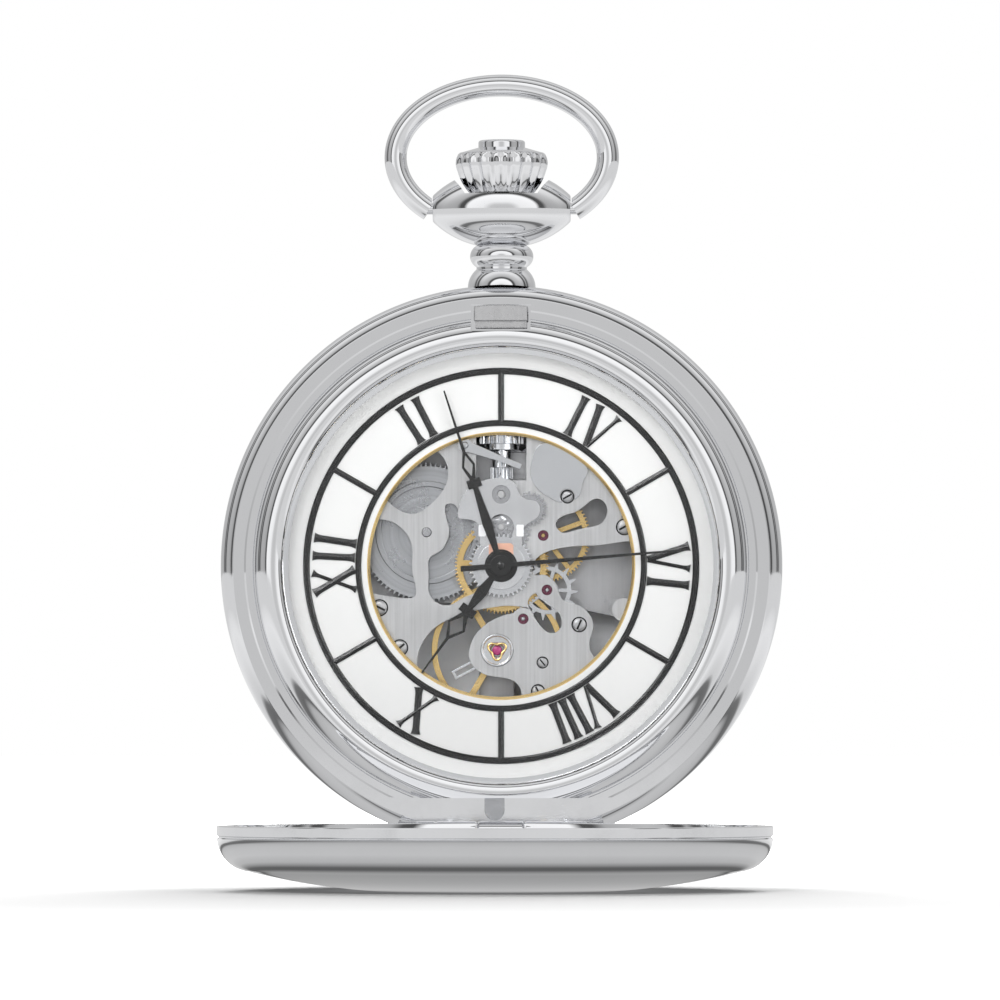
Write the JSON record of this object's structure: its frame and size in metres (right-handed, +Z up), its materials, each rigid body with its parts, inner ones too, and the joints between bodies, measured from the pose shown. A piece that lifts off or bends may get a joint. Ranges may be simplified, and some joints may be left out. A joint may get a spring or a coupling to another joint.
{
  "type": "pocket watch",
  "caption": "Hunter-cased pocket watch standing open on its hinged lid, with a bow, fluted crown, open-centre dial and a hand-wound movement.",
  "frame": {"origin": "centre of the flat foot of the open lid, on the surface the watch stands on", "axes": "+Z up along the winding stem, -Y the way the dial faces, +X to the right of the dial seen from the front"},
  "size_m": [0.048, 0.0557, 0.0695],
  "materials": {
    "case_steel": "mirror polished",
    "raw_steel": "machined, unpolished",
    "nickel_plate": "fine straight-grained nickel",
    "screw_steel": "polished heads",
    "brass": "fine turned",
    "gold_ring": "bright",
    "ruby": "polished jewel",
    "white_dial": "satin lacquer",
    "black_lacquer": "gloss",
    "copper": "satin",
    "crystal_glass": "clear",
    "seal_rubber": "matt"
  },
  "bodies": {
    "case": {"case_middle": "case_steel", "case_back": "case_steel", "bezel": "case_steel", "crystal": "crystal_glass", "hinge_pin": "raw_steel", "lid_spring": "raw_steel", "pendant_neck": "case_steel", "pendant_head": "case_steel", "dial": "white_dial", "dial_opening_ring": "gold_ring", "dial_marks": "black_lacquer", "movement_ring": "nickel_plate", "main_plate": "nickel_plate", "plate_screws": "screw_steel", "jewels": "ruby", "balance_setting": "nickel_plate", "balance_jewel": "ruby", "shock_spring": "brass", "barrel_bridge": "nickel_plate", "train_bridge": "nickel_plate", "balance_cock": "nickel_plate", "regulator": "raw_steel", "motion_cover": "nickel_plate", "setting_bridge": "raw_steel", "studs": "raw_steel", "hairspring": "raw_steel"},
    "lid": {"lid": "case_steel"},
    "catch": {"catch": "raw_steel"},
    "bow": {"bow": "case_steel"},
    "crown_seal": {"crown_gasket": "seal_rubber"},
    "crown": {"crown": "case_steel", "stem": "raw_steel"},
    "push_button": {"push_button": "case_steel"},
    "setting_lever": {"setting_lever": "raw_steel"},
    "yoke": {"yoke": "raw_steel"},
    "winding_pinion": {"winding_pinion": "raw_steel"},
    "clutch": {"clutch": "raw_steel"},
    "crown_wheel": {"crown_wheel": "raw_steel"},
    "ratchet": {"ratchet_wheel": "raw_steel", "barrel_arbor": "raw_steel"},
    "barrel": {"barrel": "raw_steel", "mainspring": "raw_steel"},
    "click": {"click": "raw_steel"},
    "centre": {"centre_wheel": "brass", "centre_arbor": "raw_steel", "cannon_pinion": "raw_steel", "minute_hand": "black_lacquer"},
    "minute_wheel": {"minute_wheel": "raw_steel"},
    "setting_wheel": {"setting_wheel": "raw_steel"},
    "second_setting_wheel": {"second_setting_wheel": "raw_steel"},
    "hour": {"hour_wheel": "raw_steel", "hour_hand": "black_lacquer", "dial_washer": "copper"},
    "third": {"third_wheel": "brass"},
    "fourth": {"fourth_wheel": "brass", "second_hand": "black_lacquer"},
    "escape": {"escape_wheel": "raw_steel"},
    "fork": {"pallet_fork": "raw_steel"},
    "balance": {"balance_wheel": "brass", "balance_staff": "raw_steel"}
  },
  "joints": [
    {"name": "lid_hinge", "type": "hinge", "parent": "case", "child": "lid", "pos_m": [0, 0.0225, 0.0048], "axis": [-1, 0, 0], "range_deg": [0, 90], "stiffness_Nm_per_rad": 0.003, "springref_deg": -22.92},
    {"name": "catch_release", "type": "slide", "parent": "case", "child": "catch", "axis": [0, 0, -1], "range_m": [0, 0.00032]},
    {"name": "bow_swing", "type": "hinge", "parent": "case", "child": "bow", "pos_m": [0, 0.026, 0.05795], "axis": [1, 0, 0], "range_deg": [-120, 120]},
    {"name": "crown_pull", "type": "slide", "parent": "case", "child": "crown_seal", "axis": [0, 0, 1], "range_m": [0, 0.001]},
    {"name": "crown_wind", "type": "hinge", "parent": "crown_seal", "child": "crown", "pos_m": [0, 0.026, 0.0273], "axis": [0, 0, 1], "continuous": true},
    {"name": "button_push", "type": "slide", "parent": "crown", "child": "push_button", "axis": [0, 0, -1], "range_m": [0, 0.0008], "stiffness_N_per_m": 300},
    {"name": "setting_lever_turn", "type": "hinge", "parent": "case", "child": "setting_lever", "pos_m": [0.0033, 0.0243, 0.0389], "axis": [0, 1, 0], "range_deg": [-12, 0]},
    {"name": "yoke_swing", "type": "hinge", "parent": "case", "child": "yoke", "pos_m": [-0.0031, 0.0243, 0.0376], "axis": [0, 1, 0], "range_deg": [0, 8.5]},
    {"name": "winding_pinion_turn", "type": "hinge", "parent": "case", "child": "winding_pinion", "pos_m": [0, 0.026, 0.0273], "axis": [0, 0, 1], "continuous": true},
    {"name": "clutch_turn", "type": "hinge", "parent": "case", "child": "clutch", "pos_m": [0, 0.026, 0.0273], "axis": [0, 0, 1], "continuous": true},
    {"name": "crown_wheel_turn", "type": "hinge", "parent": "case", "child": "crown_wheel", "pos_m": [0, 0.026, 0.0349], "axis": [0, 1, 0], "continuous": true},
    {"name": "ratchet_turn", "type": "hinge", "parent": "case", "child": "ratchet", "pos_m": [-0.00638, 0.026, 0.03018], "axis": [0, 1, 0], "continuous": true},
    {"name": "barrel_turn", "type": "hinge", "parent": "case", "child": "barrel", "pos_m": [-0.00638, 0.026, 0.03018], "axis": [0, 1, 0], "continuous": true},
    {"name": "click_lift", "type": "hinge", "parent": "case", "child": "click", "pos_m": [-0.0123, 0.0279, 0.0349], "axis": [0, 1, 0], "range_deg": [0, 8], "stiffness_Nm_per_rad": 0.0005},
    {"name": "hands_turn", "type": "hinge", "parent": "case", "child": "centre", "pos_m": [0, 0.026, 0.0273], "axis": [0, 1, 0], "continuous": true},
    {"name": "minute_wheel_turn", "type": "hinge", "parent": "case", "child": "minute_wheel", "pos_m": [0, 0.026, 0.03061], "axis": [0, 1, 0], "continuous": true},
    {"name": "setting_wheel_turn", "type": "hinge", "parent": "case", "child": "setting_wheel", "pos_m": [0, 0.026, 0.03339], "axis": [0, 1, 0], "continuous": true},
    {"name": "second_setting_wheel_turn", "type": "hinge", "parent": "case", "child": "second_setting_wheel", "pos_m": [0.0024, 0.026, 0.03216], "axis": [0, 1, 0], "continuous": true},
    {"name": "hour_hand_turn", "type": "hinge", "parent": "case", "child": "hour", "pos_m": [0, 0.026, 0.0273], "axis": [0, 1, 0], "continuous": true},
    {"name": "third_wheel_turn", "type": "hinge", "parent": "case", "child": "third", "pos_m": [0.00358, 0.026, 0.0299], "axis": [0, 1, 0], "continuous": true},
    {"name": "second_hand_turn", "type": "hinge", "parent": "case", "child": "fourth", "pos_m": [0, 0.026, 0.0273], "axis": [0, 1, 0], "continuous": true},
    {"name": "escape_wheel_turn", "type": "hinge", "parent": "case", "child": "escape", "pos_m": [0.0039, 0.026, 0.02525], "axis": [0, 1, 0], "continuous": true},
    {"name": "fork_rock", "type": "hinge", "parent": "case", "child": "fork", "pos_m": [0.00187, 0.0262, 0.02278], "axis": [0, 1, 0], "range_deg": [-4, 4]},
    {"name": "balance_swing", "type": "hinge", "parent": "case", "child": "balance", "pos_m": [-0.00037, 0.0268, 0.0201], "axis": [0, 1, 0], "range_deg": [-270, 270], "stiffness_Nm_per_rad": 0.0000008}
  ],
  "couplings": [
    {"joint": "catch_release", "follows": "button_push", "ratio": 0.4},
    {"joint": "setting_lever_turn", "follows": "crown_pull", "rad_per_m": -200},
    {"joint": "yoke_swing", "follows": "crown_pull", "rad_per_m": 140},
    {"joint": "winding_pinion_turn", "follows": "crown_wind", "ratio": 1},
    {"joint": "clutch_turn", "follows": "crown_wind", "ratio": 1},
    {"joint": "crown_wheel_turn", "follows": "crown_wind", "ratio": -0.59259},
    {"joint": "ratchet_turn", "follows": "crown_wind", "ratio": 0.38095},
    {"joint": "minute_wheel_turn", "follows": "hands_turn", "ratio": -0.33333},
    {"joint": "hour_hand_turn", "follows": "hands_turn", "ratio": 0.083333},
    {"joint": "second_setting_wheel_turn", "follows": "hands_turn", "ratio": 1.7143},
    {"joint": "setting_wheel_turn", "follows": "hands_turn", "ratio": -1.8045},
    {"joint": "barrel_turn", "follows": "hands_turn", "ratio": -0.19048},
    {"joint": "third_wheel_turn", "follows": "hands_turn", "ratio": -8},
    {"joint": "second_hand_turn", "follows": "hands_turn", "ratio": 60},
    {"joint": "escape_wheel_turn", "follows": "hands_turn", "ratio": -600}
  ]
}
